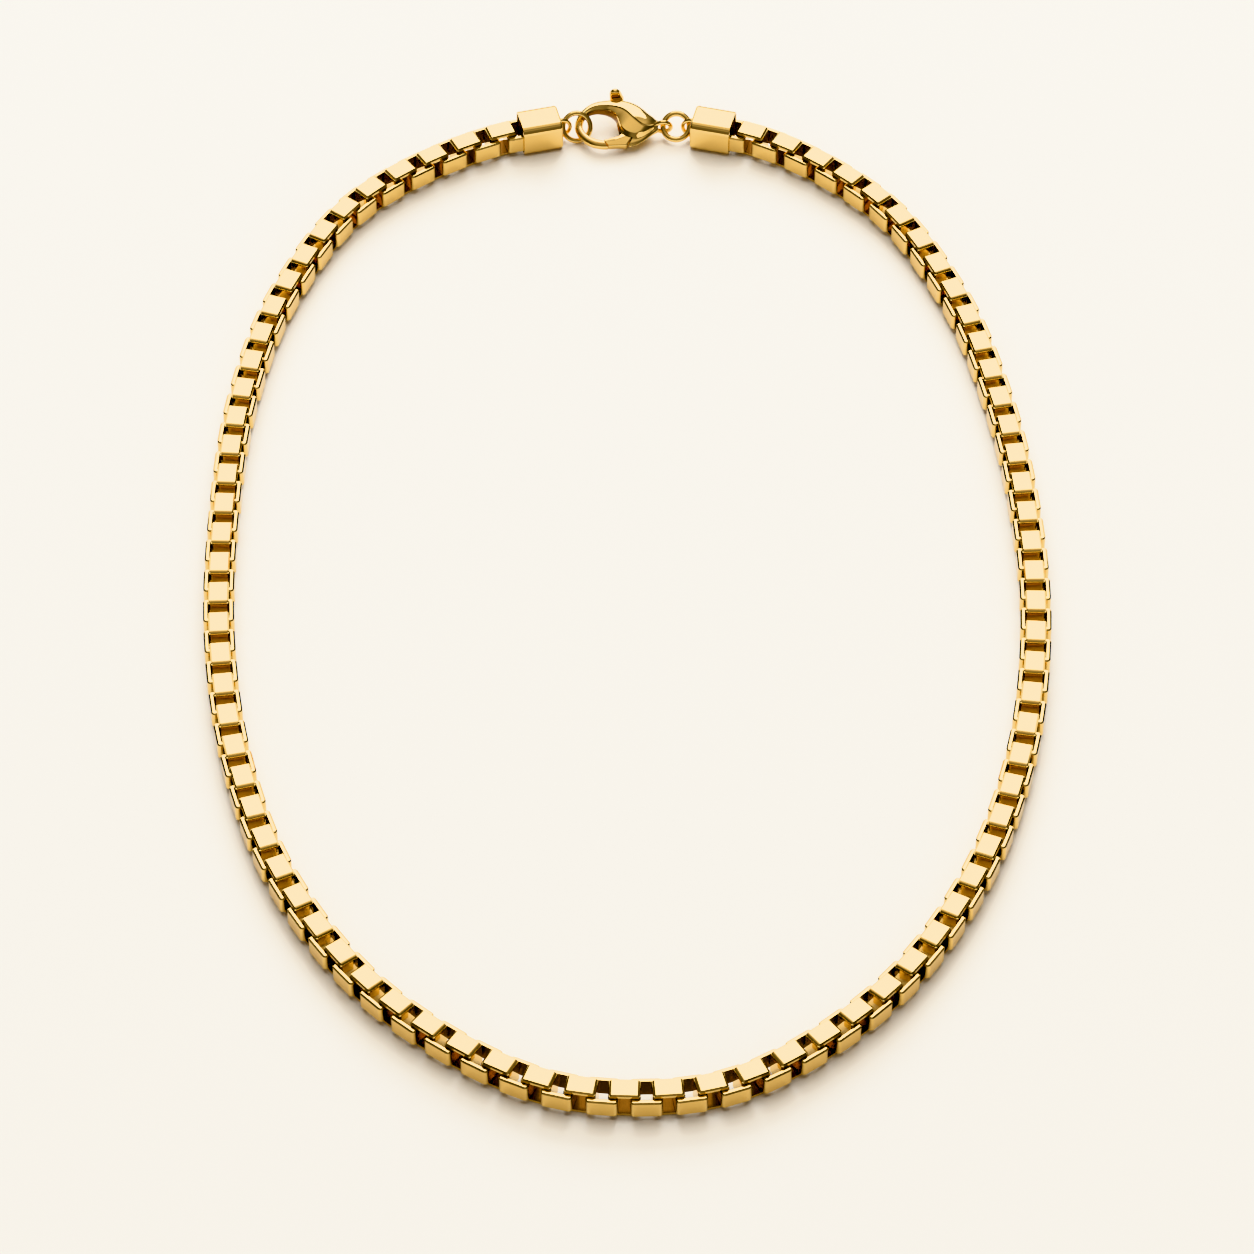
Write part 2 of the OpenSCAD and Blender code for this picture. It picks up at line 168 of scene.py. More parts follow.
class NecklaceSizes(bpy.types.PropertyGroup):
    """Sizes of the necklace's pieces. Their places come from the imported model"""

    link_length: FloatProperty(
        name="Link length", description="Length of one link along the chain",
        default=4.95 * MM, unit="LENGTH")
    link_height: FloatProperty(
        name="Link height", description="Height of one link across the chain",
        default=5.0 * MM, unit="LENGTH")
    link_width: FloatProperty(
        name="Strip width", description="Width of the strip a link is bent from",
        default=3.3 * MM, unit="LENGTH")
    strip: FloatProperty(
        name="Strip thickness", description="Thickness of the strip", default=0.65 * MM, unit="LENGTH")
    bend: FloatProperty(
        name="Bend radius", description="Outside radius of a link's bends", default=0.6 * MM, unit="LENGTH")
    rim_bevel: FloatProperty(
        name="Rim bevel", description="Bevel along the outer rims of a link",
        default=0.24 * MM, unit="LENGTH")
    cap_length: FloatProperty(
        name="Cap length", description="Length of a cap, mouth to closed end",
        default=7.0 * MM, unit="LENGTH")
    cap_width: FloatProperty(
        name="Cap width", description="Width and height of a cap", default=6.0 * MM, unit="LENGTH")
    cap_wall: FloatProperty(
        name="Cap wall", description="Thickness of a cap's walls", default=0.35 * MM, unit="LENGTH")
    cap_end: FloatProperty(
        name="Cap end", description="Thickness of a cap's closed end", default=0.7 * MM, unit="LENGTH")
    cap_edge: FloatProperty(
        name="Cap edge", description="Outside radius of a cap's long edges",
        default=1.25 * MM, unit="LENGTH")
    cap_bevel: FloatProperty(
        name="Cap bevel", description="Bevel round a cap's closed end", default=0.45 * MM, unit="LENGTH")
    link_out: FloatProperty(
        name="Link out of cap", description="How far outside a cap's mouth the end link's middle lies",
        default=0.3 * MM, unit="LENGTH")
    cap_pin: FloatProperty(
        name="Cross pin", description="Diameter of the pin that holds the end link in a cap",
        default=0.9 * MM, unit="LENGTH")
    cap_play: FloatProperty(
        name="Cap play", description="Clearance of the end link on the cross pin",
        default=0.15 * MM, unit="LENGTH")
    cap_turn: FloatProperty(
        name="Cap turn", description="Angle between a cap and the line from cap to cap",
        default=math.radians(14.0), unit="ROTATION")
    loop_radius: FloatProperty(
        name="Loop radius", description="Middle radius of a cap's soldered loop",
        default=1.85 * MM, unit="LENGTH")
    loop_wire: FloatProperty(
        name="Loop wire", description="Wire diameter of a cap's loop", default=0.7 * MM, unit="LENGTH")
    loop_height: FloatProperty(
        name="Loop height", description="Height of a cap's loop above the surface",
        default=2.6 * MM, unit="LENGTH")
    clasp_length: FloatProperty(
        name="Clasp length", description="Length of the clasp, bend to tail",
        default=14.5 * MM, unit="LENGTH")
    clasp_width: FloatProperty(
        name="Clasp width", description="Width of the clasp across hook and body",
        default=10.1 * MM, unit="LENGTH")
    clasp_thickness: FloatProperty(
        name="Clasp thickness", description="Thickness of the clasp's body",
        default=4.0 * MM, unit="LENGTH")
    step_width: FloatProperty(
        name="Step width", description="Width of the small step along the clasp's crest",
        default=0.14 * MM, unit="LENGTH")
    step_depth: FloatProperty(
        name="Step depth", description="Depth of the small step along the clasp's crest",
        default=0.17 * MM, unit="LENGTH")
    eye_hole: FloatProperty(
        name="Eye hole", description="Radius of the hole in the clasp's eye",
        default=0.9 * MM, unit="LENGTH")
    eye_wire: FloatProperty(
        name="Eye wire", description="Thickness of the clasp's eye", default=0.8 * MM, unit="LENGTH")
    lever_thickness: FloatProperty(
        name="Lever thickness", description="Thickness of the gate", default=1.2 * MM, unit="LENGTH")
    lever_play: FloatProperty(
        name="Lever play", description="Clearance between the lever and the body",
        default=0.12 * MM, unit="LENGTH")
    seam: FloatProperty(
        name="Seam", description="Gap between the gate's tip and the hook's nose",
        default=0.15 * MM, unit="LENGTH")
    gate_bevel: FloatProperty(
        name="Gate bevel", description="Bevel round the gate's edges", default=0.16 * MM, unit="LENGTH")
    ledge_reach: FloatProperty(
        name="Ledge reach", description="How far the ledge stands out past the gate's tip",
        default=0.12 * MM, unit="LENGTH")
    lip_half: FloatProperty(
        name="Lip half width", description="Half width of the gate's slot on the side of the gate's lip",
        default=0.6 * MM, unit="LENGTH")
    neck_width: FloatProperty(
        name="Neck width", description="Width of the lever's arm from the hub to the thumb tab",
        default=1.6 * MM, unit="LENGTH")
    tab_gap: FloatProperty(
        name="Tab gap", description="Gap between the clasp's back and the thumb tab",
        default=0.2 * MM, unit="LENGTH")
    tab_thickness: FloatProperty(
        name="Tab thickness", description="Thickness of the thumb tab", default=0.8 * MM, unit="LENGTH")
    tab_height: FloatProperty(
        name="Tab height", description="Height of the thumb tab above the lever's middle",
        default=2.8 * MM, unit="LENGTH")
    tab_round: FloatProperty(
        name="Tab round", description="Radius of the thumb tab's round top",
        default=0.95 * MM, unit="LENGTH")
    tab_bevel: FloatProperty(
        name="Tab bevel", description="Bevel round the thumb tab's edges", default=0.3 * MM, unit="LENGTH")
    hub_radius: FloatProperty(
        name="Hub radius", description="Radius of the lever's hub", default=1.15 * MM, unit="LENGTH")
    pin_diameter: FloatProperty(
        name="Pin", description="Diameter of the lever's pin", default=1.0 * MM, unit="LENGTH")
    pin_play: FloatProperty(
        name="Pin play", description="Clearance of the lever on its pin, in radius",
        default=0.05 * MM, unit="LENGTH")
    pin_press: FloatProperty(
        name="Pin press", description="Clearance of the body round the pin, in radius",
        default=0.02 * MM, unit="LENGTH")


class NecklaceColours(bpy.types.PropertyGroup):
    """Colours and finishes of the gold, the surface and the studio, and the strengths of the lights"""

    gold: FloatVectorProperty(
        name="Gold", description="Colour of the polished gold", subtype="COLOR", size=3,
        min=0.0, max=1.0, default=(0.89, 0.615, 0.22))
    deep_gold: FloatVectorProperty(
        name="Deep gold", description="Deeper tone that shows in faint clouds", subtype="COLOR", size=3,
        min=0.0, max=1.0, default=(0.74, 0.42, 0.10))
    # Painted shade: the dark colour inside the links stands in for the shade there; that gold is also less
    # polished
    hollow_shade_gold: FloatVectorProperty(
        name="Hollow gold", description="Colour of the unpolished gold inside the links",
        subtype="COLOR", size=3, min=0.0, max=1.0, default=(0.09, 0.036, 0.006))
    # Painted shade: the dark colour on the hook's inner wall stands in for the shade there
    wall_shade_gold: FloatVectorProperty(
        name="Shaded gold", description="Colour of the gold on the hook's inner wall",
        subtype="COLOR", size=3, min=0.0, max=1.0, default=(0.20, 0.085, 0.012))
    polish: FloatProperty(
        name="Polish", description="Roughness of the polished gold", subtype="FACTOR",
        min=0.0, max=1.0, default=0.06)
    hollow_polish: FloatProperty(
        name="Hollow polish", description="Roughness of the gold in hollows", subtype="FACTOR",
        min=0.0, max=1.0, default=0.20)
    cloud: FloatProperty(
        name="Cloud", description="How far the deep gold shows through in clouds", subtype="FACTOR",
        min=0.0, max=1.0, default=0.10)
    ripple: FloatProperty(
        name="Ripple", description="Strength of the faint ripple in the polish", subtype="FACTOR",
        min=0.0, max=1.0, default=0.04)
    surface: FloatVectorProperty(
        name="Surface", description="Colour of the surface the necklace lies on", subtype="COLOR", size=3,
        min=0.0, max=1.0, default=(0.93, 0.91, 0.87))
    studio: FloatVectorProperty(
        name="Studio", description="Tint of the studio's panels", subtype="COLOR", size=3,
        min=0.0, max=1.0, default=(1.0, 0.90, 0.78))
    key_power: FloatProperty(
        name="Key light", description="Power of the tall softbox behind", subtype="POWER", default=15.5)
    fill_power: FloatProperty(
        name="Fill light", description="Power of the large light above", subtype="POWER", default=40.0)
    low_power: FloatProperty(
        name="Low light", description="Power of the light that draws the shadows", subtype="POWER",
        default=24.0)


def sizes():
    return bpy.context.scene.necklace_sizes


def colours():
    return bpy.context.scene.necklace_colours


# Modelling helpers

def deselect():
    for obj in list(bpy.context.selected_objects):
        obj.select_set(False)


def work_on(obj):
    deselect()
    bpy.context.view_layer.objects.active = obj
    obj.select_set(True)


def named(name):
    obj = bpy.context.active_object
    obj.name = name
    obj.data.name = name
    return obj


def edit(mode="FACE"):
    bpy.ops.object.mode_set(mode="EDIT")
    bpy.ops.mesh.select_mode(type=mode)
    bpy.ops.mesh.select_all(action="DESELECT")


def leave_edit():
    bpy.ops.object.mode_set(mode="OBJECT")


def pick_faces(obj, test):
    """Selects the faces for which test(centre, normal) holds, and stays in edit mode."""
    edit("FACE")
    leave_edit()
    for face in obj.data.polygons:
        face.select = bool(test(face.center, face.normal))
    bpy.ops.object.mode_set(mode="EDIT")


def pick_edges(obj, test):
    """Selects the edges for which test(middle, direction) holds, and stays in edit mode."""
    edit("EDGE")
    leave_edit()
    points = obj.data.vertices
    for e in obj.data.edges:
        a, b = (points[i].co for i in e.vertices)
        e.select = bool(test((a + b) / 2, (b - a).normalized()))
    bpy.ops.object.mode_set(mode="EDIT")


def place_mesh(obj, matrix):
    """Puts the object's place into its mesh, with the object itself at the origin."""
    obj.data.transform(matrix @ obj.matrix_world)
    obj.matrix_world = Matrix.Identity(4)
    obj.data.update()


def copy_of(obj, matrix):
    twin = obj.copy()
    twin.data = obj.data.copy()
    bpy.context.scene.collection.objects.link(twin)
    twin.data.transform(matrix)
    return twin


def join(parts, name):
    deselect()
    for part in parts:
        part.select_set(True)
    bpy.context.view_layer.objects.active = parts[0]
    if len(parts) > 1:
        bpy.ops.object.join()
    return named(name)


def smooth(obj, degrees=35, flat_faces=False):
    """Smooth shading with sharp edges past this angle. With flat_faces the large faces stay truly flat."""
    work_on(obj)
    bpy.ops.object.shade_smooth_by_angle(angle=math.radians(degrees), keep_sharp_edges=False)
    if flat_faces:
        weights = obj.modifiers.new("weights", "WEIGHTED_NORMAL")
        weights.keep_sharp = True
        weights.weight = 100
        bpy.ops.object.modifier_apply(modifier=weights.name)


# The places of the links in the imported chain

def solids_of(node):
    """The separate solids of a CAD node, as arrays of their corners and of their face areas and normals."""
    mesh = NODES[node].data
    points = np.array([v.co for v in mesh.vertices])
    steps = np.round(points / SAME_CORNER).astype(np.int64)
    keys, spot = np.unique(steps, axis=0, return_inverse=True)
    spot = spot.reshape(-1)
    parent = list(range(len(keys)))

    def root(i):
        while parent[i] != i:
            parent[i] = parent[parent[i]]
            i = parent[i]
        return i

    faces = [tuple(spot[i] for i in f.vertices) for f in mesh.polygons]
    for f in faces:
        for other in f[1:]:
            a, b = root(f[0]), root(other)
            if a != b:
                parent[a] = b
    groups = {}
    for f, face in zip(faces, mesh.polygons):
        groups.setdefault(root(f[0]), []).append(face)
    found = []
    for group in groups.values():
        corners = np.array([points[i] for face in group for i in face.vertices])
        found.append((corners, [(face.area, face.normal.copy()) for face in group]))
    return found


def quarter_turn_of(faces):
    """How far a link's upright faces are turned round Z, less any whole quarter turns."""
    total = 0.0
    for area, normal in faces:
        if abs(normal.z) < ACROSS:
            total += area * complex(*Vector((normal.x, normal.y)).normalized()) ** 4
    return math.atan2(total.imag, total.real) / 4


def link_places(*nodes):
    """For each node the places of its links: middle, heading and whether the link stands upright."""
    s = sizes()
    rows = []
    for node in nodes:
        for corners, faces in solids_of(node):
            low, high = corners.min(0), corners.max(0)
            upright = high[2] - low[2] < (s.link_width + s.link_height) / 2
            rows.append((node, (low + high) / 2, quarter_turn_of(faces), upright))
    middles = np.array([middle for node, middle, turn, upright in rows])
    places = {node: [] for node in nodes}
    for node, middle, turn, upright in rows:
        away = np.linalg.norm(middles - middle, axis=1)
        away[away.argmin()] = math.inf
        step = middles[away.argmin()] - middle
        along = math.atan2(step[1], step[0])
        quarters = round((along - turn) / (math.pi / 2))
        places[node].append((Vector(middle), turn + quarters * math.pi / 2, upright))
    return places


# Pieces

def model_link():
    """One link as a band bent into a rounded square, its loop in the XZ plane."""
    s = sizes()
    deselect()
    bpy.ops.mesh.primitive_cube_add(size=1.0)
    link = named("link")
    edit()
    bpy.ops.mesh.select_all(action="SELECT")
    bpy.ops.transform.resize(value=(s.link_length, s.link_width, s.link_height))
    leave_edit()
    pick_faces(link, lambda c, n: abs(n.y) > ALONG)
    bpy.ops.mesh.inset(thickness=s.strip, use_even_offset=True)
    bpy.ops.mesh.bridge_edge_loops()
    leave_edit()
    half_length, half_height = s.link_length / 2, s.link_height / 2
    pick_edges(link, lambda c, d: (abs(d.y) > ALONG and abs(c.x) > half_length - TINY
                                   and abs(c.z) > half_height - TINY))
    bpy.ops.mesh.bevel(offset=s.bend, segments=3, affect="EDGES")
    leave_edit()

    def on_outer_rim(c, d):
        on_side = abs(c.y) > s.link_width / 2 - TINY and abs(d.y) < ACROSS
        depth = min(half_length - abs(c.x), half_height - abs(c.z))
        on_bend = abs(c.x) > half_length - s.bend and abs(c.z) > half_height - s.bend
        straight = max(abs(d.x), abs(d.z)) > EXACTLY
        return on_side and depth < RIM_SHARE * s.strip and (on_bend or straight)

    pick_edges(link, on_outer_rim)
    bpy.ops.mesh.bevel(offset=s.rim_bevel, segments=1, affect="EDGES")
    leave_edit()
    edit("EDGE")
    bpy.ops.mesh.select_all(action="SELECT")
    bpy.ops.mesh.remove_doubles(threshold=WELD)
    bpy.ops.mesh.normals_make_consistent(inside=False)
    leave_edit()
    link.data.materials.append(gold("chain_gold"))
    link.data.materials.append(gold("chain_hollow_shade"))
    # Faces inside the band get the second gold, whose dark colour is painted shade
    for face in link.data.polygons:
        c, n = face.center, face.normal
        inwards = c.x * n.x + c.z * n.z < 0
        face.material_index = int(inwards and abs(n.y) < 0.5)
    return link


class NECKLACE_OT_chain(bpy.types.Operator):
    """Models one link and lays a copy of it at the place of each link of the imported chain"""

    bl_idname = "necklace.chain"
    bl_label = "Chain"

    def execute(self, context):
        link = model_link()
        places = link_places("chain_left", "chain_right")
        for node, rows in places.items():
            copies = []
            for middle, heading, upright in rows:
                stand = Matrix.Rotation(math.pi / 2, 4, "X") if upright else Matrix.Identity(4)
                turned = Matrix.Rotation(heading, 4, "Z") @ stand
                copies.append(copy_of(link, Matrix.Translation(middle) @ turned))
            piece = join(copies, node + "_links")
            smooth(piece, flat_faces=True)
            finish_piece(piece, NECKLACE_BODY, "chain_gold", node)
        bpy.data.objects.remove(link)
        return {"FINISHED"}


def model_cap():
    """One cap with its closed end at the origin, its mouth towards -X and its middle at z = 0."""
    s = sizes()
    deselect()
    bpy.ops.mesh.primitive_cube_add(size=1.0)
    cap = named("cap")
    edit()
    bpy.ops.mesh.select_all(action="SELECT")
    bpy.ops.transform.resize(value=(s.cap_length, s.cap_width, s.cap_width))
    bpy.ops.transform.translate(value=(-s.cap_length / 2, 0.0, 0.0))
    leave_edit()
    pick_edges(cap, lambda c, d: abs(d.x) > ALONG)
    bpy.ops.mesh.bevel(offset=s.cap_edge, segments=8, affect="EDGES")
    leave_edit()
    pick_edges(cap, lambda c, d: c.x > -TINY and abs(d.x) < ACROSS)
    bpy.ops.mesh.bevel(offset=s.cap_bevel, segments=3, affect="EDGES")
    leave_edit()
    pick_faces(cap, lambda c, n: n.x < -ALONG)
    bpy.ops.mesh.inset(thickness=s.cap_wall)
    bpy.ops.mesh.extrude_region_move(TRANSFORM_OT_translate={"value": (s.cap_length - s.cap_end, 0.0, 0.0)})
    leave_edit()
    pick_edges(cap, lambda c, d: c.x < TINY - s.cap_length and abs(d.x) < ACROSS)
    bpy.ops.mesh.bevel(offset=s.cap_wall / 4, segments=2, affect="EDGES")
    leave_edit()

    bpy.ops.mesh.primitive_torus_add(major_radius=s.loop_radius, minor_radius=s.loop_wire / 2,
                                     major_segments=48, minor_segments=16)
    loop = named("loop")
    edit()
    bpy.ops.mesh.select_all(action="SELECT")
    bpy.ops.transform.rotate(value=math.pi / 2, orient_axis="X", center_override=(0.0, 0.0, 0.0))
    bpy.ops.transform.translate(value=(0.0, 0.0, s.loop_height - s.cap_width / 2))
    bpy.ops.mesh.bisect(plane_co=(-s.cap_end / 2, 0.0, 0.0), plane_no=(1.0, 0.0, 0.0), use_fill=True,
                        clear_inner=True)
    leave_edit()

    bpy.ops.mesh.primitive_cylinder_add(vertices=24, radius=s.cap_pin / 2, depth=s.cap_width - s.cap_wall)
    pin = named("pin")
    link_middle = -s.cap_length - s.link_out
    pin_place = link_middle + s.link_length / 2 - s.strip - s.cap_play - s.cap_pin / 2
    edit()
    bpy.ops.mesh.select_all(action="SELECT")
    bpy.ops.transform.translate(value=(pin_place, 0.0, 0.0))
    leave_edit()
    return join([cap, loop, pin], "cap")


def cap_place(node, side):
    """The place of a packed cap's closed end, turned as the cap lies. The left cap's side is 1."""
    s = sizes()
    along = Vector((side * math.cos(s.cap_turn), math.sin(s.cap_turn), 0.0))
    across = Vector((-along.y, along.x, 0.0))
    mesh = NODES[node].data
    reach = [v.co.dot(across) for v in mesh.vertices]
    area = {}
    for face in mesh.polygons:
        if face.normal.dot(along) > EXACTLY:
            step = round(face.center.dot(along) / TINY)
            area[step] = area.get(step, 0.0) + face.area
    end = max(area, key=area.get) * TINY
    middle = along * end + across * (min(reach) + max(reach)) / 2
    middle.z = s.cap_width / 2
    return Matrix.Translation(middle) @ Matrix.Rotation(math.atan2(along.y, along.x), 4, "Z")


class NECKLACE_OT_caps(bpy.types.Operator):
    """Models one end cap with its loop and puts a copy over each end of the chain"""

    bl_idname = "necklace.caps"
    bl_label = "End caps"

    def execute(self, context):
        cap = model_cap()
        for node, side in (("end_cap_left", 1.0), ("end_cap_right", -1.0)):
            piece = copy_of(cap, cap_place(node, side))
            piece.name = piece.data.name = node + "_shell"
            smooth(piece, flat_faces=True)
            finish_piece(piece, NECKLACE_BODY, "cap_gold", node)
        bpy.data.objects.remove(cap)
        return {"FINISHED"}


class NECKLACE_OT_rings(bpy.types.Operator):
    """Gives the two packed rings and the lever's pin their polish"""

    bl_idname = "necklace.rings"
    bl_label = "Rings"

    def execute(self, context):
        finishes = {"ring_left": "ring_gold", "ring_right": "ring_gold", "lever_pin": "clasp_gold"}
        for node, finish in finishes.items():
            NODES[node].data.materials.clear()
            NODES[node].data.materials.append(gold(finish))
        return {"FINISHED"}


def on_clasp(share):
    """A place in the clasp's own frame from its shares of the clasp's length and width."""
    return Vector((share[0] * sizes().clasp_length, share[1] * sizes().clasp_width, 0.0))


def clasp_matrix():
    """From the clasp's own frame, X from the bend to the tail and Y towards the thumb tab, to its place."""
    axis = Vector(HINGE["axis"])
    tilt = Matrix.Rotation(math.atan2(axis.y, -axis.z), 4, "X")
    pivot = on_clasp(PIVOT_SHARE)
    return Matrix.Translation(Vector(HINGE["pos_m"]) - tilt @ pivot) @ tilt


def between_rows(rows, steps):
    """Rows along a smooth curve through all the given rows, with this many steps from each to the next."""
    table = np.array([rows[0], *rows, rows[-1]])
    found = []
    for a, b, c, d in zip(table, table[1:], table[2:], table[3:]):
        for k in range(steps):
            u = k / steps
            found.append(b + (c - a) * u / 2 + (2 * a - 5 * b + 4 * c - d) * u ** 2 / 2
                         + (3 * b - a - 3 * c + d) * u ** 3 / 2)
    return [*found, table[-1]]


def section_points(row):
    """The corners of one section across the clasp, round from its outer end over the top."""
    s = sizes()
    inner, outer = on_clasp(row[0:2]), on_clasp(row[2:4])
    middle, half = (inner + outer) / 2, (outer - inner) / 2
    thick, crest, facet, facet_height, drop, strength = row[4:10]
    lift = thick * s.clasp_thickness / 2
    fuller = min(max((thick - FULLER_FROM) / (FULLER_TO - FULLER_FROM), 0.0), 1.0)
    exponent = 1.0 - FULLER_BY * fuller
    turns = [math.pi / 2 * k / CREST for k in range(CREST)]
    slope = [(math.cos(t) ** exponent, math.sin(t) ** exponent) for t in turns]
    cut = [(crest + (1 - crest) * h, z) for h, z in slope]
    foot = crest - s.step_width / half.length
    floor = 1 - s.step_depth / lift
    cut += [(crest, 1.0), (foot, floor), ((foot + facet) / 2, (floor + facet_height) / 2)]
    chamfer = facet - min(drop * lift / half.length / CHAMFER_SLOPE, CHAMFER_REACH * (1 + facet))
    rest = facet_height - drop
    cut += [(facet, facet_height), (chamfer, rest)]
    cut += [(chamfer - (1 + chamfer) * h, rest * z) for h, z in INNER_ROUND]
    top = []
    for k, place in enumerate(cut):
        angle = math.pi * k / HALF_ROUND
        plain = (math.cos(angle), math.sin(angle))
        top.append(tuple(a + (b - a) * strength for a, b in zip(plain, place)))
    around = top + [(h, -z) for h, z in reversed(top[1:-1])]
    return [middle + half * h + Vector((0.0, 0.0, lift * z)) for h, z in around]


def model_clasp_shell():
    """Hook and body: a grid whose rows are laid on the clasp's sections, closed, creased and subdivided."""
    sections = between_rows(CLASP_ROWS, ROW_STEPS)
    table = [section_points(row) for row in sections]
    strengths = [row[-1] for row in sections]
    rows = len(table)
    columns = 2 * HALF_ROUND
    deselect()
    bpy.ops.mesh.primitive_grid_add(x_subdivisions=columns, y_subdivisions=rows - 1, size=1.0)
    shell = named("clasp_shell")
    mesh = shell.data
    spots = [(round((v.co.y + 0.5) * (rows - 1)), round((v.co.x + 0.5) * columns)) for v in mesh.vertices]
    folds = {}
    for column, weight in FOLDS:
        folds[column] = folds[columns - column] = weight
    crease = mesh.attributes.new("crease_edge", "FLOAT", "EDGE")
    for e in mesh.edges:
        (row, column), (other_row, other_column) = (spots[i] for i in e.vertices)
        if column == other_column and column in folds:
            crease.data[e.index].value = folds[column] * (strengths[row] + strengths[other_row]) / 2
        elif row == other_row == rows - 1:
            crease.data[e.index].value = TAIL_FOLD
    for v, (row, column) in zip(mesh.vertices, spots):
        v.co = table[row][column % columns]
    mesh.materials.append(gold("clasp_gold"))
    mesh.materials.append(gold("clasp_wall_shade"))
    # Faces on the hook's inner wall get the second gold, whose dark colour is painted shade
    for face in mesh.polygons:
        along, around = zip(*(spots[i] for i in face.vertices))
        on_wall = min(around) >= CHAMFER and max(around) <= columns - CHAMFER
        face.material_index = int(on_wall and min(along) >= WALL_ROWS[0] and max(along) <= WALL_ROWS[1])
    edit("EDGE")
    bpy.ops.mesh.select_all(action="SELECT")
    bpy.ops.mesh.remove_doubles(threshold=WELD)
    bpy.ops.mesh.select_all(action="DESELECT")
    bpy.ops.mesh.select_non_manifold(extend=False, use_wire=False, use_multi_face=False,
                                     use_non_contiguous=False, use_verts=False)
    bpy.ops.mesh.edge_face_add()
    bpy.ops.mesh.select_all(action="SELECT")
    bpy.ops.mesh.normals_make_consistent(inside=False)
    leave_edit()
    work_on(shell)
    divide = shell.modifiers.new("subdivision", "SUBSURF")
    divide.levels = divide.render_levels = 2
    bpy.ops.object.modifier_apply(modifier=divide.name)
    return shell


def slab(name, points, thickness):
    """A flat plate with this outline, its thickness halved by z = 0."""
    deselect()
    bpy.ops.mesh.primitive_circle_add(vertices=len(points), radius=1.0, fill_type="NGON")
    plate = named(name)
    for v, place in zip(plate.data.vertices, points):
        v.co = (place[0], place[1], -thickness / 2)
    edit()
    bpy.ops.mesh.select_all(action="SELECT")
    bpy.ops.mesh.extrude_region_move(TRANSFORM_OT_translate={"value": (0.0, 0.0, thickness)})
    bpy.ops.mesh.select_all(action="SELECT")
    bpy.ops.mesh.normals_make_consistent(inside=False)
    leave_edit()
    return plate


def combine(obj, others, operation):
    """Joins or cuts obj with each of the others, which are used up."""
    for other in others:
        work_on(obj)
        step = obj.modifiers.new("combine", "BOOLEAN")
        step.operation = operation
        step.solver = "EXACT"
        step.object = other
        bpy.ops.object.modifier_apply(modifier=step.name)
        bpy.data.objects.remove(other)


def arc(centre, radius, start, end, steps):
    turns = [start + (end - start) * k / steps for k in range(steps + 1)]
    return [(centre.x + radius * math.cos(t), centre.y + radius * math.sin(t)) for t in turns]


def disc(name, centre, radius, thickness):
    last = 2 * math.pi * (1 - 1 / DISC_SIDES)
    return slab(name, arc(centre, radius, 0.0, last, DISC_SIDES - 1), thickness)


def bevel_sharp(obj, width, segments, degrees=40):
    work_on(obj)
    edit("EDGE")
    bpy.ops.mesh.edges_select_sharp(sharpness=math.radians(degrees))
    bpy.ops.mesh.bevel(offset=width, segments=segments, affect="EDGES", clamp_overlap=True)
    leave_edit()


def tip_radius():
    """How far the gate's tip is from the lever's pivot."""
    return (on_clasp(GATE_TIP) - on_clasp(PIVOT_SHARE)).length


def bearing(point):
    """The direction of a point as seen from the lever's pivot."""
    away = point - on_clasp(PIVOT_SHARE)
    return math.atan2(away.y, away.x) % (2 * math.pi)


def direction(turn):
    return Vector((math.cos(turn), math.sin(turn), 0.0))


def tab_root():
    """The middle of the thumb tab's foot."""
    s = sizes()
    return Vector((sum(TAB_ENDS) / 2 * s.clasp_length,
                   TAB_SIDE * s.clasp_width + s.tab_gap + s.tab_thickness / 2, 0.0))


def strip_swing(half, start, end, near_half):
    """A strip from the pivot outwards that covers a swing from one bearing to another."""
    pivot = on_clasp(PIVOT_SHARE)
    reach = sizes().clasp_width
    near = pivot + direction(start + math.pi / 2) * near_half
    far = pivot + direction(end - math.pi / 2) * half
    middle = pivot + direction((start + end) / 2) * 2 * reach
    return [near, near + direction(start) * reach, middle, far + direction(end) * reach, far]


def slot_cutters():
    """The solids that cut the lever's room, the seam at the gate's tip and the pin's bore."""
    s = sizes()
    pivot = on_clasp(PIVOT_SHARE)
    slot_height = s.lever_thickness + 2 * s.lever_play
    hub_room = s.hub_radius + s.lever_play
    hub = disc("hub_slot", pivot, hub_room, slot_height)
    neck = bearing(tab_root())
    neck_room = s.neck_width / 2 + s.lever_play
    neck_slot = slab("neck_slot", strip_swing(neck_room, neck, neck - LEVER_OPEN, neck_room), slot_height)
    lip = bearing(on_clasp(GATE_OUTER[1])) - LIP_TURN
    tip = bearing(on_clasp(GATE_TIP)) - LEVER_OPEN
    gate_slot = slab("gate_slot", strip_swing(hub_room, lip, tip, s.lip_half), slot_height)
    gate_reach = disc("gate_reach", pivot, tip_radius() + s.seam, 2 * slot_height)
    combine(gate_slot, [gate_reach], "INTERSECT")
    nose = disc("nose", pivot, tip_radius() + s.seam, s.clasp_thickness)
    zone = slab("zone", [on_clasp(share) for share in NOSE_ZONE], 2 * s.clasp_thickness)
    combine(nose, [zone], "INTERSECT")
    bore = disc("bore", pivot, s.pin_diameter / 2 + s.pin_press, s.clasp_thickness)
    drop = (BORE_TOP - 0.5) * s.clasp_thickness
    bore.data.transform(Matrix.Translation((0.0, 0.0, drop)))
    return [hub, neck_slot, gate_slot, nose, bore]


def model_eye():
    """The eye at the clasp's tail, which just reaches into the body."""
    s = sizes()
    bpy.ops.mesh.primitive_torus_add(major_radius=s.eye_hole + s.eye_wire / 2, minor_radius=s.eye_wire / 2,
                                     major_segments=48, minor_segments=20)
    eye = named("eye")
    edit()
    bpy.ops.mesh.select_all(action="SELECT")
    bpy.ops.transform.rotate(value=math.pi / 2, orient_axis="X", center_override=(0.0, 0.0, 0.0))
    bpy.ops.transform.translate(value=(s.clasp_length + s.eye_hole - TINY, 0.0, 0.0))
    leave_edit()
    return eye


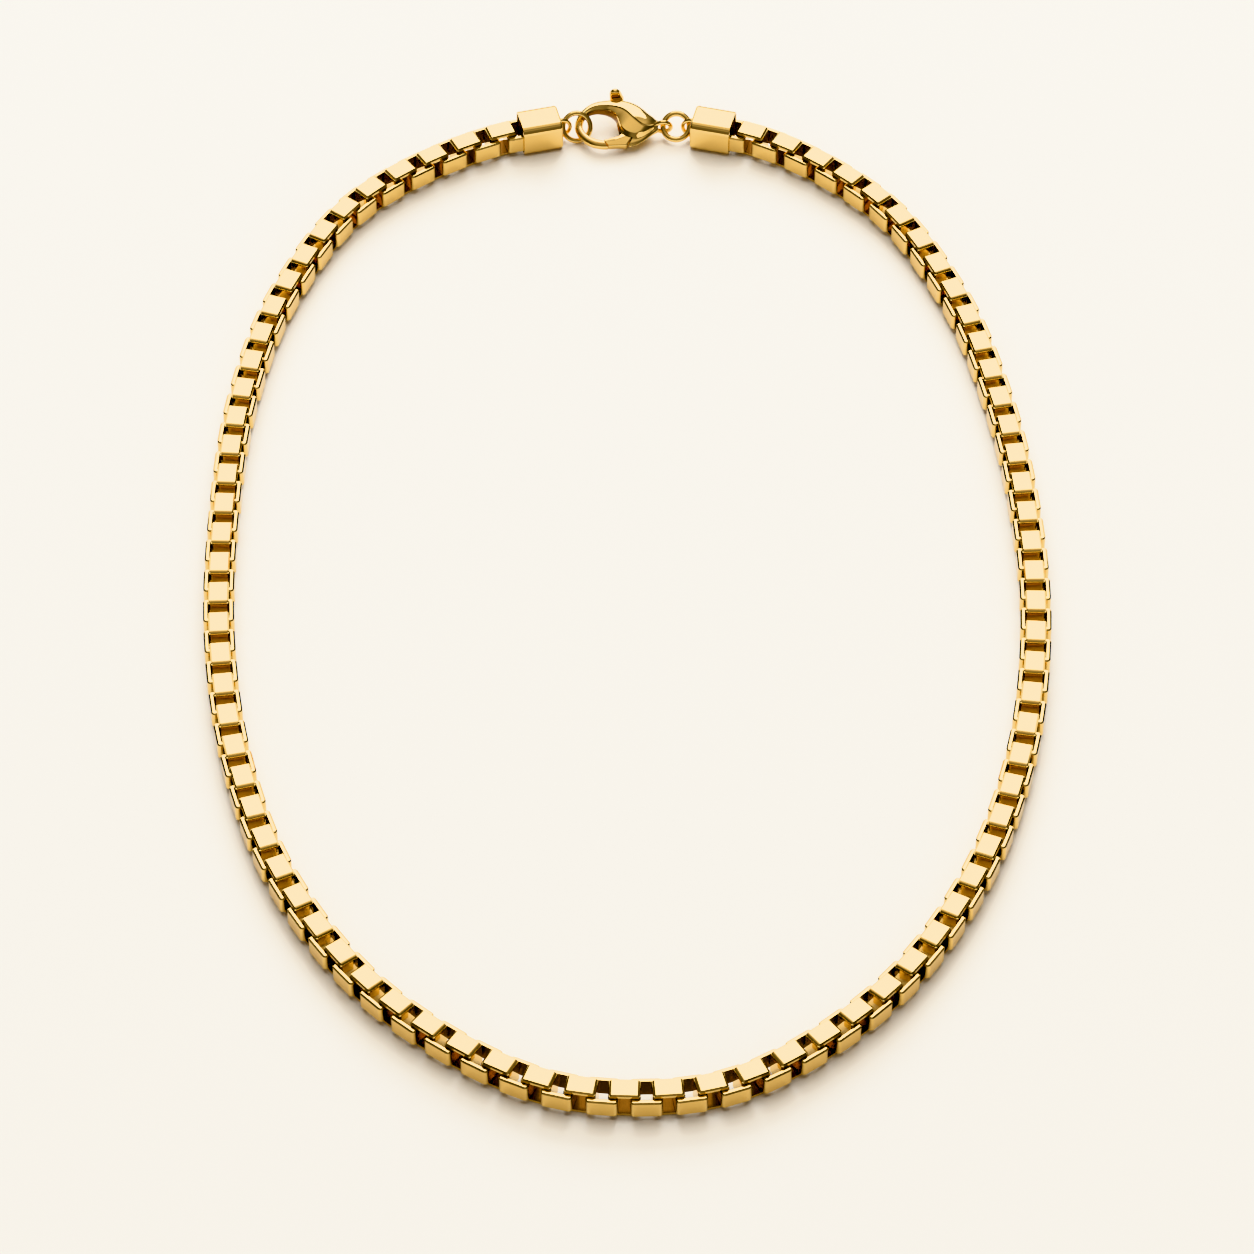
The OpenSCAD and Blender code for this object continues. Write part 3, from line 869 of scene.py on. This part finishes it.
class NECKLACE_OT_clasp(bpy.types.Operator):
    """Models the clasp's hook, body and eye, with the slot that the lever turns in"""

    bl_idname = "necklace.clasp"
    bl_label = "Clasp body"

    def execute(self, context):
        shell = model_clasp_shell()
        combine(shell, slot_cutters(), "DIFFERENCE")
        combine(shell, [model_eye()], "UNION")
        place_mesh(shell, clasp_matrix())
        shell.name = shell.data.name = "clasp_hook_and_body"
        smooth(shell, 30)
        finish_piece(shell, NECKLACE_BODY, "clasp_gold", "clasp_body")
        return {"FINISHED"}


def model_gate():
    """The gate from its rounded tip to the hub, with bevelled edges."""
    s = sizes()
    pivot = on_clasp(PIVOT_SHARE)
    hub_bottom = pivot + Vector((0.0, -s.hub_radius, 0.0))
    hub_back = pivot + direction(HUB_CORNER) * s.hub_radius
    tip = [on_clasp(GATE_INNER[0]), on_clasp(GATE_OUTER[0])]
    foot = [on_clasp(GATE_OUTER[1]), hub_bottom, pivot, hub_back, on_clasp(GATE_INNER[1])]
    gate = slab("gate", tip + foot, s.lever_thickness)
    combine(gate, [disc("tip", pivot, tip_radius(), 2 * s.lever_thickness)], "INTERSECT")
    bevel_sharp(gate, s.gate_bevel, 3)
    return gate


def model_ledge():
    """The thin ledge at the gate's tip that reaches towards the hook's nose."""
    s = sizes()
    ledge = slab("ledge", [on_clasp(share) for share in LEDGE], LEDGE_SHARE * s.lever_thickness)
    reach = disc("tip", on_clasp(PIVOT_SHARE), tip_radius() + s.ledge_reach, 2 * s.lever_thickness)
    combine(ledge, [reach], "INTERSECT")
    ledge.data.transform(Matrix.Translation((0.0, 0.0, -LEDGE_DROP * s.lever_thickness)))
    return ledge


def model_neck():
    """The lever's arm from the hub to the thumb tab's foot."""
    s = sizes()
    pivot, root = on_clasp(PIVOT_SHARE), tab_root()
    side = direction(bearing(root) + math.pi / 2) * s.neck_width / 2
    outline = [pivot + side, pivot - side, root - side, root + side]
    return slab("neck", outline, NECK_SHARE * s.lever_thickness)


def model_tab():
    """The thumb tab: a plate with a round top and rolled edges, stood upright behind the clasp."""
    s = sizes()
    left, right = (share * s.clasp_length for share in TAB_ENDS)
    foot = s.lever_thickness / 2
    top = Vector((left + s.tab_round, s.tab_height - s.tab_round, 0.0))
    outline = [(left, -foot), (right, -foot), (right, foot), *arc(top, s.tab_round, TAB_SLANT, math.pi, 12)]
    tab = slab("tab", outline, s.tab_thickness)
    bevel_sharp(tab, s.tab_bevel, 5)
    tab.data.transform(Matrix.Rotation(math.pi / 2, 4, "X"))
    tab.data.transform(Matrix.Translation((0.0, tab_root().y, 0.0)))
    return tab


class NECKLACE_OT_lever(bpy.types.Operator):
    """Models the lever: the gate, the hub it turns on, the arm through the body and the thumb tab"""

    bl_idname = "necklace.lever"
    bl_label = "Lever"

    def execute(self, context):
        s = sizes()
        pivot = on_clasp(PIVOT_SHARE)
        lever = model_gate()
        hub = disc("hub", pivot, s.hub_radius, s.lever_thickness)
        combine(lever, [model_ledge(), hub, model_neck(), model_tab()], "UNION")
        bore = disc("bore", pivot, s.pin_diameter / 2 + s.pin_play, 2 * s.lever_thickness)
        combine(lever, [bore], "DIFFERENCE")
        place_mesh(lever, clasp_matrix())
        lever.name = lever.data.name = "clasp_gate_and_tab"
        smooth(lever)
        finish_piece(lever, LEVER_BODY, "clasp_gold", "clasp_lever")
        return {"FINISHED"}


def finish_piece(piece, body, finish, node):
    """Gives a piece its gold, if it has none yet, and says what it rides on and which node it replaces."""
    if not piece.data.materials:
        piece.data.materials.append(gold(finish))
    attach(piece, body)
    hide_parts(node)


# Materials

def new_material(name):
    material = bpy.data.materials.new(name)
    material.use_nodes = True
    material.node_tree.nodes.clear()
    return material


def add_node(tree, kind, **values):
    """A new node with these inputs, and with what isn't an input set as a property of the node."""
    made = tree.nodes.new(kind)
    for key, value in values.items():
        if key in made.inputs:
            made.inputs[key].default_value = value
        else:
            setattr(made, key, value)
    return made


def polish_group():
    """Fine unevenness of polished gold: cloudy tone, hairline scratches and a faint ripple."""
    if "gold_polish" in bpy.data.node_groups:
        return bpy.data.node_groups["gold_polish"]
    tree = bpy.data.node_groups.new("gold_polish", "ShaderNodeTree")
    for name, kind in (("Gold", "Color"), ("Deep", "Color"), ("Roughness", "Float"), ("Cloud", "Float")):
        tree.interface.new_socket(name, in_out="INPUT", socket_type="NodeSocket" + kind)
    for name, kind in (("Color", "Color"), ("Roughness", "Float"), ("Height", "Float")):
        tree.interface.new_socket(name, in_out="OUTPUT", socket_type="NodeSocket" + kind)
    given = tree.nodes.new("NodeGroupInput")
    result = tree.nodes.new("NodeGroupOutput")
    place = tree.nodes.new("ShaderNodeTexCoord")
    cloud = add_node(tree, "ShaderNodeTexNoise", Scale=420.0, Detail=3.0, Roughness=0.55)
    scratch = add_node(tree, "ShaderNodeTexNoise", Scale=5200.0, Detail=2.0, Roughness=0.6)
    stretch = add_node(tree, "ShaderNodeMapping", Scale=(1.0, 0.12, 0.6))
    tree.links.new(place.outputs["Object"], cloud.inputs["Vector"])
    tree.links.new(place.outputs["Object"], stretch.inputs["Vector"])
    tree.links.new(stretch.outputs["Vector"], scratch.inputs["Vector"])
    share = add_node(tree, "ShaderNodeMath", operation="MULTIPLY")
    tree.links.new(cloud.outputs["Fac"], share.inputs[0])
    tree.links.new(given.outputs["Cloud"], share.inputs[1])
    tone = add_node(tree, "ShaderNodeMix", data_type="RGBA")
    tree.links.new(share.outputs[0], tone.inputs["Factor"])
    tree.links.new(given.outputs["Gold"], tone.inputs["A"])
    tree.links.new(given.outputs["Deep"], tone.inputs["B"])
    tree.links.new(tone.outputs["Result"], result.inputs["Color"])
    fine = add_node(tree, "ShaderNodeMapRange", **SCRATCH_RANGE)
    tree.links.new(scratch.outputs["Fac"], fine.inputs["Value"])
    rough = add_node(tree, "ShaderNodeMath", operation="MULTIPLY")
    tree.links.new(fine.outputs["Result"], rough.inputs[0])
    tree.links.new(given.outputs["Roughness"], rough.inputs[1])
    tree.links.new(rough.outputs[0], result.inputs["Roughness"])
    tree.links.new(cloud.outputs["Fac"], result.inputs["Height"])
    return tree


def gold(finish):
    """The gold of one kind of piece, made once. In hollows and on the hook's inner wall it is less
    polished, and darker with painted shade.
    """
    name = "polished_" + finish
    if name in bpy.data.materials:
        return bpy.data.materials[name]
    c = colours()
    # Painted shade: inside the links and on the hook's inner wall a dark tone stands in for the shade
    # there; these golds are also less polished
    hollows = {"chain_hollow_shade": c.hollow_shade_gold, "clasp_wall_shade": c.wall_shade_gold}
    painted_shade = finish in hollows
    tone = Vector(hollows.get(finish, c.gold))
    deep = tone / 2 if painted_shade else c.deep_gold
    material = new_material(name)
    tree = material.node_tree
    out = add_node(tree, "ShaderNodeOutputMaterial")
    shader = add_node(tree, "ShaderNodeBsdfPrincipled", Metallic=1.0)
    polish = add_node(tree, "ShaderNodeGroup", node_tree=polish_group())
    polish.inputs["Gold"].default_value = (*tone, 1.0)
    polish.inputs["Deep"].default_value = (*deep, 1.0)
    polish.inputs["Roughness"].default_value = c.hollow_polish if painted_shade else c.polish
    polish.inputs["Cloud"].default_value = c.cloud
    bump = add_node(tree, "ShaderNodeBump", Strength=c.ripple, Distance=0.02 * MM)
    tree.links.new(polish.outputs["Color"], shader.inputs["Base Color"])
    tree.links.new(polish.outputs["Roughness"], shader.inputs["Roughness"])
    tree.links.new(polish.outputs["Height"], bump.inputs["Height"])
    tree.links.new(bump.outputs["Normal"], shader.inputs["Normal"])
    tree.links.new(shader.outputs["BSDF"], out.inputs["Surface"])
    return material


def pale_surface():
    """The large plain surface that the necklace lies on."""
    deselect()
    bpy.ops.mesh.primitive_plane_add(size=6.0, location=(0.0, 0.0, 0.0))
    floor = named("surface")
    edit()
    bpy.ops.mesh.select_all(action="SELECT")
    bpy.ops.mesh.subdivide(number_cuts=4)
    leave_edit()
    material = new_material("pale_surface")
    tree = material.node_tree
    out = add_node(tree, "ShaderNodeOutputMaterial")
    shader = add_node(tree, "ShaderNodeBsdfPrincipled", Roughness=0.9)
    shader.inputs["Base Color"].default_value = (*colours().surface, 1.0)
    shader.inputs["Specular IOR Level"].default_value = 0.1
    tree.links.new(shader.outputs["BSDF"], out.inputs["Surface"])
    floor.data.materials.append(material)


def studio_world():
    """The studio's bright and dark panels, which the gold reflects."""
    world = bpy.data.worlds.new("studio")
    world.use_nodes = True
    sky = world.node_tree
    background = sky.nodes["Background"]
    background.inputs["Color"].default_value = (*colours().studio, 1.0)
    place = add_node(sky, "ShaderNodeTexCoord")
    split = add_node(sky, "ShaderNodeSeparateXYZ")
    angle = add_node(sky, "ShaderNodeMath", operation="ARCTAN2")
    turn = add_node(sky, "ShaderNodeMapRange", **{"From Max": math.pi})
    panels = add_node(sky, "ShaderNodeValToRGB")
    panels.color_ramp.interpolation = "EASE"
    while len(panels.color_ramp.elements) < len(SKY_STOPS):
        panels.color_ramp.elements.new(0.5)
    for element, (degrees, level) in zip(panels.color_ramp.elements, SKY_STOPS):
        element.position = degrees / 180
        element.color = (level, level, level, 1.0)
    aside = add_node(sky, "ShaderNodeMath", operation="ABSOLUTE")
    fade = add_node(sky, "ShaderNodeMapRange", interpolation_type="SMOOTHSTEP", **SIDE_FADE)
    total = add_node(sky, "ShaderNodeMath", operation="MULTIPLY")
    sky.links.new(place.outputs["Generated"], split.inputs["Vector"])
    sky.links.new(split.outputs["Z"], angle.inputs[0])
    sky.links.new(split.outputs["Y"], angle.inputs[1])
    sky.links.new(angle.outputs[0], turn.inputs["Value"])
    sky.links.new(turn.outputs["Result"], panels.inputs["Fac"])
    sky.links.new(split.outputs["X"], aside.inputs[0])
    sky.links.new(aside.outputs[0], fade.inputs["Value"])
    sky.links.new(panels.outputs["Color"], total.inputs[0])
    sky.links.new(fade.outputs["Result"], total.inputs[1])
    sky.links.new(total.outputs[0], background.inputs["Strength"])
    bpy.context.scene.world = world


def softbox(name, place, width, height, power, colour, reflected=True):
    """A soft light that is turned towards the middle of the necklace."""
    light = bpy.data.lights.new(name, "AREA")
    light.shape = "RECTANGLE"
    light.size = width
    light.size_y = height
    light.energy = power
    light.color = colour
    lamp = bpy.data.objects.new(name, light)
    lamp.location = place
    lamp.rotation_euler = (-Vector(place)).to_track_quat("-Z", "Y").to_euler()
    lamp.visible_glossy = reflected
    bpy.context.scene.collection.objects.link(lamp)


def photo_camera():
    """The camera at the photo's angle."""
    camera = bpy.data.cameras.new("camera")
    camera.lens = CAMERA_LENS
    camera.sensor_width = 36.0
    camera.clip_start = 0.05
    camera.clip_end = 20.0
    eye = bpy.data.objects.new("camera", camera)
    eye.location = CAMERA_PLACE
    eye.rotation_euler = (CAMERA_TURN, 0.0, 0.0)
    bpy.context.scene.collection.objects.link(eye)
    bpy.context.scene.camera = eye


class NECKLACE_OT_stage(bpy.types.Operator):
    """Sets up the surface, the world, the lights and the camera"""

    bl_idname = "necklace.stage"
    bl_label = "Stage"

    def execute(self, context):
        c = colours()
        pale_surface()
        studio_world()
        softbox("back_light", (0.0, 1.15, 0.96), 1.0, 0.95, c.key_power, (0.90, 0.95, 1.0))
        softbox("fill_light", (0.0, 0.5, 2.2), 2.4, 2.0, c.fill_power, (1.0, 0.93, 0.82), reflected=False)
        softbox("low_light", (0.0, 1.31, 0.73), 1.2, 0.7, c.low_power, (0.93, 0.97, 1.0), reflected=False)
        photo_camera()
        context.scene.view_settings.view_transform = "Khronos PBR Neutral"
        return {"FINISHED"}


class NECKLACE_PT_panel(bpy.types.Panel):
    """Lists the sizes, the colours and the pieces"""

    bl_label = "Box chain necklace"
    bl_idname = "NECKLACE_PT_panel"
    bl_space_type = "VIEW_3D"
    bl_region_type = "UI"
    bl_category = "Necklace"

    def draw(self, context):
        column = self.layout.column()
        for group in (context.scene.necklace_sizes, context.scene.necklace_colours):
            for key in group.bl_rna.properties.keys():
                if key not in ("rna_type", "name"):
                    column.prop(group, key)
        for operator in OPERATORS:
            column.operator(operator.bl_idname)


OPERATORS = (NECKLACE_OT_chain, NECKLACE_OT_caps, NECKLACE_OT_rings, NECKLACE_OT_clasp, NECKLACE_OT_lever,
             NECKLACE_OT_stage)
CLASSES = (NecklaceSizes, NecklaceColours, *OPERATORS, NECKLACE_PT_panel)


def register():
    for cls in CLASSES:
        bpy.utils.register_class(cls)
    bpy.types.Scene.necklace_sizes = PointerProperty(type=NecklaceSizes)
    bpy.types.Scene.necklace_colours = PointerProperty(type=NecklaceColours)


def unregister():
    del bpy.types.Scene.necklace_colours
    del bpy.types.Scene.necklace_sizes
    for cls in reversed(CLASSES):
        bpy.utils.unregister_class(cls)


def main():
    register()
    bpy.ops.necklace.chain()
    bpy.ops.necklace.caps()
    bpy.ops.necklace.rings()
    bpy.ops.necklace.clasp()
    bpy.ops.necklace.lever()
    bpy.ops.necklace.stage()


if __name__ == "__main__":
    main()
